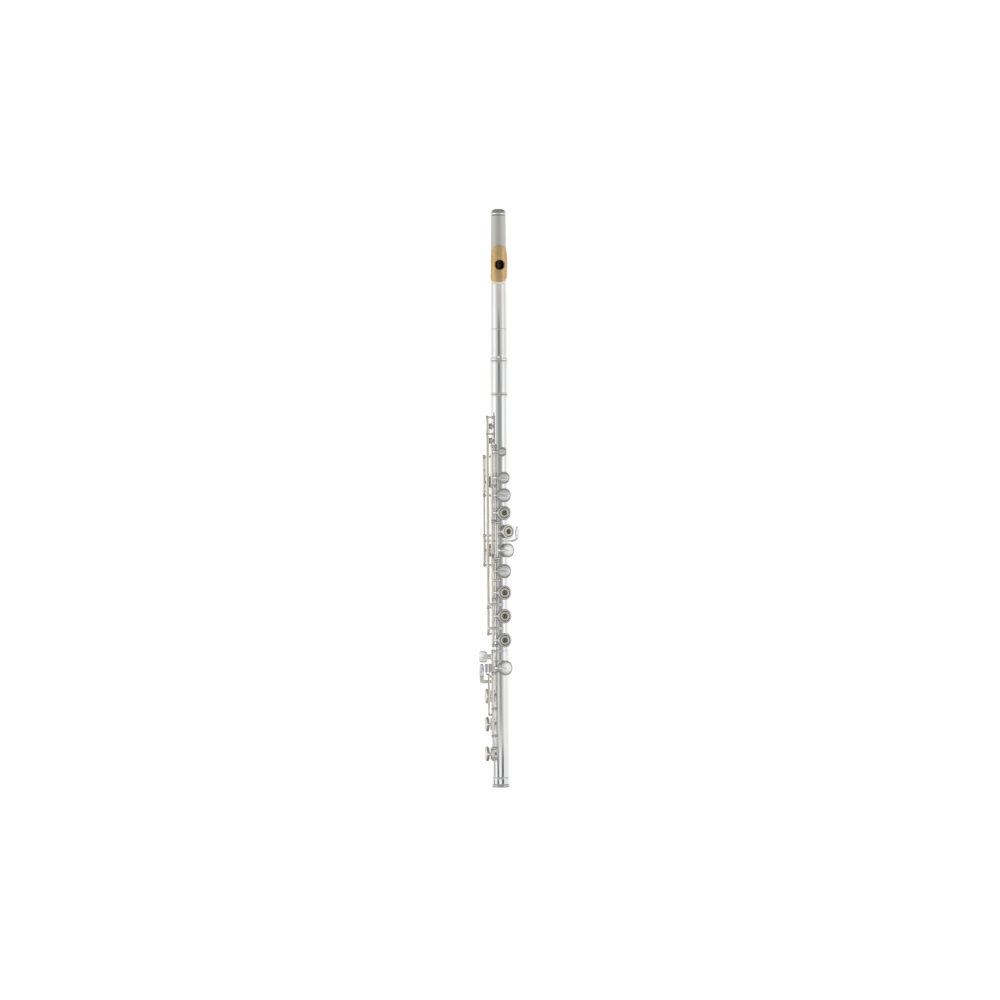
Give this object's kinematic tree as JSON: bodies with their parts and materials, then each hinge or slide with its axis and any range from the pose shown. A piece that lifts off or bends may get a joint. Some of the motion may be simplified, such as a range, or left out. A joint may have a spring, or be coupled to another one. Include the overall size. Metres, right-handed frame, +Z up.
{
  "type": "concert flute",
  "caption": "Silver concert flute with a long footjoint, open-hole keys, an offset key pair and a gold lip plate, built from sprung keys on hinge rods, pads, ribs and tubes.",
  "frame": {"origin": "centre of the bore at the footjoint's open end", "axes": "+Z up the bore towards the crown, -Y out of the main row of keys, -X towards the hinge rods and the player"},
  "size_m": [0.0507, 0.0415, 0.7066],
  "materials": {
    "silver": "polished silver",
    "gold": "polished gold",
    "steel": "ground steel",
    "pad_skin": "thin fish-skin over felt",
    "cork": "natural cork"
  },
  "bodies": {
    "foot": {"foot_tube": "silver", "foot_rib": "silver", "foot_steel": "steel"},
    "body": {"body_tube": "silver", "barrel": "silver", "main_rib": "silver", "thumb_rib": "silver", "lower_steel": "steel", "upper_steel": "steel", "g_steel": "steel", "thumb_steel": "steel"},
    "head": {"head_tube": "silver", "lip_plate": "gold", "lip_riser": "gold"},
    "crown": {"crown": "silver"},
    "stopper": {"stopper_plate": "steel", "stopper_cork": "cork", "stopper_screw": "steel"},
    "c": {"c_key": "silver", "c_key_pad": "pad_skin", "c_sharp_pad": "pad_skin"},
    "b_flat": {"b_flat_key": "silver", "b_flat_pad": "pad_skin"},
    "a": {"a_key": "silver", "a_pad": "pad_skin"},
    "g": {"g_key": "silver", "g_upper_pad": "pad_skin", "g_lower_pad": "pad_skin"},
    "g_sharp": {"g_sharp_key": "silver", "g_sharp_pad": "pad_skin"},
    "f_sharp": {"f_sharp_key": "silver", "f_sharp_pad": "pad_skin"},
    "f": {"f_key": "silver", "f_pad": "pad_skin"},
    "e": {"e_key": "silver", "e_pad": "pad_skin"},
    "d": {"d_key": "silver", "d_pad": "pad_skin"},
    "shake": {"b_flat_shake_lever": "silver"},
    "thumb_b": {"thumb_b_key": "silver", "thumb_b_pad": "pad_skin"},
    "thumb_b_flat": {"thumb_b_flat_lever": "silver"},
    "d_trill": {"d_trill_key": "silver", "d_trill_pad": "pad_skin"},
    "d_sharp_trill": {"d_sharp_trill_key": "silver", "d_sharp_trill_pad": "pad_skin"},
    "foot_d_sharp": {"foot_d_sharp_key": "silver", "foot_d_sharp_pad": "pad_skin"},
    "foot_c_sharp": {"foot_c_sharp_key": "silver", "foot_c_sharp_pad": "pad_skin"},
    "foot_c": {"foot_c_key": "silver", "foot_c_pad": "pad_skin"},
    "foot_b": {"foot_b_key": "silver", "foot_b_pad": "pad_skin"},
    "foot_c_roller": {"foot_c_roller": "silver"},
    "foot_b_roller": {"foot_b_roller": "silver"}
  },
  "joints": [
    {"name": "foot_turn", "type": "hinge", "parent": "foot", "child": "body", "pos_m": [0, 0, 0.168], "axis": [0, 0, 1], "range_deg": [-15, 15]},
    {"name": "tuning_slide", "type": "slide", "parent": "body", "child": "head", "axis": [0, 0, 1], "range_m": [0, 0.015]},
    {"name": "crown_turn", "type": "hinge", "parent": "head", "child": "crown", "pos_m": [0, 0, 0.7], "axis": [0, 0, 1], "range_deg": [-540, 540]},
    {"name": "stopper_slide", "type": "slide", "parent": "head", "child": "stopper", "axis": [0, 0, 1], "range_m": [-0.00104, 0.00104]},
    {"name": "c_press", "type": "hinge", "parent": "body", "child": "c", "pos_m": [-0.01358, -0.01023, 0.392], "axis": [0, 0, 1], "range_deg": [0, 8.6], "stiffness_Nm_per_rad": 0.02, "springref_deg": -17.19},
    {"name": "b_flat_press", "type": "hinge", "parent": "body", "child": "b_flat", "pos_m": [-0.01358, -0.01023, 0.357], "axis": [0, 0, 1], "range_deg": [0, 8.6], "stiffness_Nm_per_rad": 0.02, "springref_deg": -17.19},
    {"name": "a_press", "type": "hinge", "parent": "body", "child": "a", "pos_m": [-0.01358, -0.01023, 0.338], "axis": [0, 0, 1], "range_deg": [0, 8.6], "stiffness_Nm_per_rad": 0.02, "springref_deg": -17.19},
    {"name": "g_press", "type": "hinge", "parent": "body", "child": "g", "pos_m": [-0.00975, -0.01393, 0.3015], "axis": [0, 0, 1], "range_deg": [0, 8.6], "stiffness_Nm_per_rad": 0.02, "springref_deg": -17.19},
    {"name": "g_sharp_press", "type": "hinge", "parent": "body", "child": "g_sharp", "pos_m": [-0.01898, 0.00348, 0.2895], "axis": [0, 0, 1], "range_deg": [0, 6], "stiffness_Nm_per_rad": 0.02, "springref_deg": -17.19},
    {"name": "f_sharp_press", "type": "hinge", "parent": "body", "child": "f_sharp", "pos_m": [-0.01358, -0.01023, 0.265], "axis": [0, 0, 1], "range_deg": [0, 8.6], "stiffness_Nm_per_rad": 0.02, "springref_deg": -17.19},
    {"name": "f_press", "type": "hinge", "parent": "body", "child": "f", "pos_m": [-0.01358, -0.01023, 0.2445], "axis": [0, 0, 1], "range_deg": [0, 8.6], "stiffness_Nm_per_rad": 0.02, "springref_deg": -17.19},
    {"name": "e_press", "type": "hinge", "parent": "body", "child": "e", "pos_m": [-0.01358, -0.01023, 0.215], "axis": [0, 0, 1], "range_deg": [0, 8.6], "stiffness_Nm_per_rad": 0.02, "springref_deg": -17.19},
    {"name": "d_press", "type": "hinge", "parent": "body", "child": "d", "pos_m": [-0.01358, -0.01023, 0.189], "axis": [0, 0, 1], "range_deg": [0, 8.6], "stiffness_Nm_per_rad": 0.02, "springref_deg": -17.19},
    {"name": "shake_press", "type": "hinge", "parent": "body", "child": "shake", "pos_m": [-0.01358, -0.01023, 0.3005], "axis": [0, 0, 1], "range_deg": [0, 4], "stiffness_Nm_per_rad": 0.02, "springref_deg": -17.19},
    {"name": "thumb_b_press", "type": "hinge", "parent": "body", "child": "thumb_b", "pos_m": [-0.01898, 0.00348, 0.373], "axis": [0, 0, 1], "range_deg": [-5.7, 0], "stiffness_Nm_per_rad": 0.02, "springref_deg": 17.19},
    {"name": "thumb_b_flat_press", "type": "hinge", "parent": "body", "child": "thumb_b_flat", "pos_m": [-0.01898, 0.00348, 0.394], "axis": [0, 0, 1], "range_deg": [-5.7, 0], "stiffness_Nm_per_rad": 0.02, "springref_deg": 17.19},
    {"name": "d_trill_press", "type": "hinge", "parent": "body", "child": "d_trill", "pos_m": [-0.01778, -0.0051, 0.325], "axis": [0, 0, 1], "range_deg": [0, 8], "stiffness_Nm_per_rad": 0.02, "springref_deg": -17.19},
    {"name": "d_sharp_trill_press", "type": "hinge", "parent": "body", "child": "d_sharp_trill", "pos_m": [-0.01778, -0.0051, 0.325], "axis": [0, 0, 1], "range_deg": [0, 8], "stiffness_Nm_per_rad": 0.02, "springref_deg": -17.19},
    {"name": "foot_d_sharp_press", "type": "hinge", "parent": "foot", "child": "foot_d_sharp", "pos_m": [-0.01409, -0.00951, 0.153], "axis": [0, 0, 1], "range_deg": [-8, 0], "stiffness_Nm_per_rad": 0.02, "springref_deg": 17.19},
    {"name": "foot_c_sharp_press", "type": "hinge", "parent": "foot", "child": "foot_c_sharp", "pos_m": [-0.01409, -0.00951, 0.116], "axis": [0, 0, 1], "range_deg": [-8.6, 0], "stiffness_Nm_per_rad": 0.02, "springref_deg": 17.19},
    {"name": "foot_c_press", "type": "hinge", "parent": "foot", "child": "foot_c", "pos_m": [-0.01409, -0.00951, 0.0795], "axis": [0, 0, 1], "range_deg": [-8.6, 0], "stiffness_Nm_per_rad": 0.02, "springref_deg": 17.19},
    {"name": "foot_b_press", "type": "hinge", "parent": "foot", "child": "foot_b", "pos_m": [-0.01409, -0.00951, 0.0415], "axis": [0, 0, 1], "range_deg": [-8.6, 0], "stiffness_Nm_per_rad": 0.02, "springref_deg": 17.19},
    {"name": "foot_c_roller_spin", "type": "hinge", "parent": "foot_c", "child": "foot_c_roller", "pos_m": [-0.02206, -0.0089, 0.1461], "axis": [0, 0, 1], "continuous": true},
    {"name": "foot_b_roller_spin", "type": "hinge", "parent": "foot_b", "child": "foot_b_roller", "pos_m": [-0.01797, -0.00984, 0.1461], "axis": [0, 0, 1], "continuous": true}
  ],
  "couplings": [
    {"joint": "crown_turn", "follows": "stopper_slide", "rad_per_m": 8976.7},
    {"joint": "b_flat_press", "follows": "a_press", "ratio": 1},
    {"joint": "f_sharp_press", "follows": "f_press", "ratio": 1}
  ]
}
